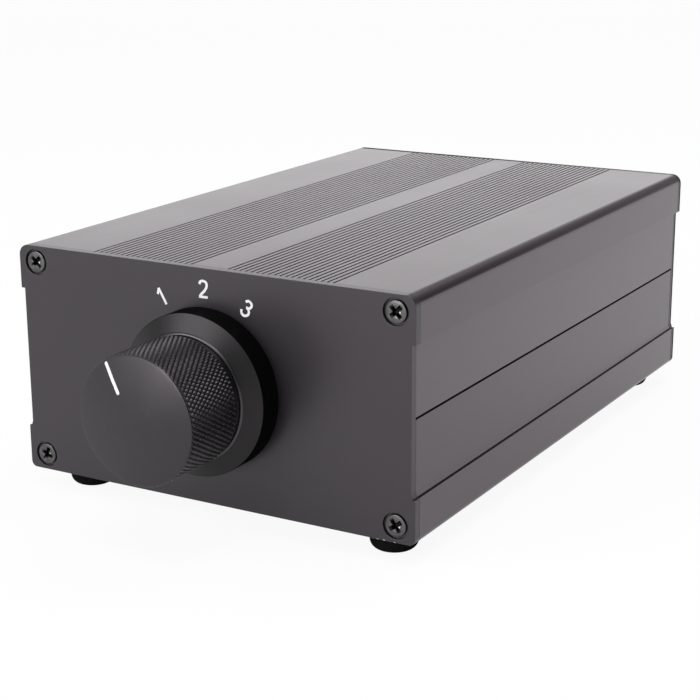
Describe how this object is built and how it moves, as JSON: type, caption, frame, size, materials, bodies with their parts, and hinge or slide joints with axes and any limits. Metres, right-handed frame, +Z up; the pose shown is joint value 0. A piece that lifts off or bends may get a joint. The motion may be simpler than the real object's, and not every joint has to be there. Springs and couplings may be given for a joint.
{
  "type": "audio source selector",
  "caption": "Free-standing audio source selector: split extruded metal case with a stepped rotary knob on the front and phono sockets on the back.",
  "frame": {"origin": "on the surface that the feet stand on, in the middle of the object's width and of its depth over the knob and the jacks", "axes": "+Z up, -Y out of the front panel, +X to the right as seen from the front"},
  "size_m": [0.105, 0.1982, 0.0603],
  "materials": {
    "black_anodised": "satin black anodised extrusion",
    "panel_black": "satin black anodised plate",
    "knob_black": "satin black anodised turned metal",
    "seat_black": "deep black satin finish on the fixed ring",
    "black_steel": "dark plated",
    "foot_rubber": "moulded matt rubber",
    "white_paint": "filled white enamel",
    "zinc_plated": "zinc plated",
    "shaft_aluminium": "turned",
    "spring_steel": "bare spring strip",
    "ivory_plastic": "moulded acetal",
    "wafer_laminate": "phenolic laminate",
    "board_laminate": "solder-masked glass laminate",
    "silver_contacts": "silver plated",
    "jack_plastic": "moulded",
    "gold_plated": "gold plated",
    "insert_white": "moulded",
    "insert_red": "moulded"
  },
  "bodies": {
    "chassis": {"top_shell": "black_anodised", "bottom_shell": "black_anodised", "front_panel": "panel_black", "rear_panel": "panel_black", "front_panel_screws": "black_steel", "rear_panel_screws": "black_steel", "rubber_feet": "foot_rubber", "knob_seat": "seat_black", "switch_frame": "zinc_plated", "bushing_washer": "zinc_plated", "bushing_nut": "zinc_plated", "stop_pins": "zinc_plated", "detent_spring": "spring_steel", "detent_rivet": "zinc_plated", "wafer_spacers": "zinc_plated", "tie_screws": "zinc_plated", "wafer": "wafer_laminate", "wafer_clips": "silver_contacts", "wafer_pins": "silver_contacts", "circuit_board": "board_laminate", "jack_block_left": "jack_plastic", "jack_block_right": "jack_plastic", "jack_sleeves": "gold_plated", "jack_inserts_white": "insert_white", "jack_inserts_red": "insert_red", "jack_contacts": "gold_plated", "jack_ground_tags": "silver_contacts", "jack_block_screws": "black_steel"},
    "selector": {"knob": "knob_black", "knob_pointer": "white_paint", "knob_grub_screw": "black_steel", "switch_shaft": "shaft_aluminium", "shaft_clips": "zinc_plated", "stop_washer": "zinc_plated", "detent_wheel": "ivory_plastic", "rotor": "ivory_plastic", "rotor_blades": "silver_contacts"}
  },
  "joints": [
    {"name": "selector_turn", "type": "hinge", "parent": "chassis", "child": "selector", "pos_m": [0, -0.07095, 0.0328], "axis": [0, 1, 0], "range_deg": [0, 60], "deforming": ["detent_spring"]}
  ]
}
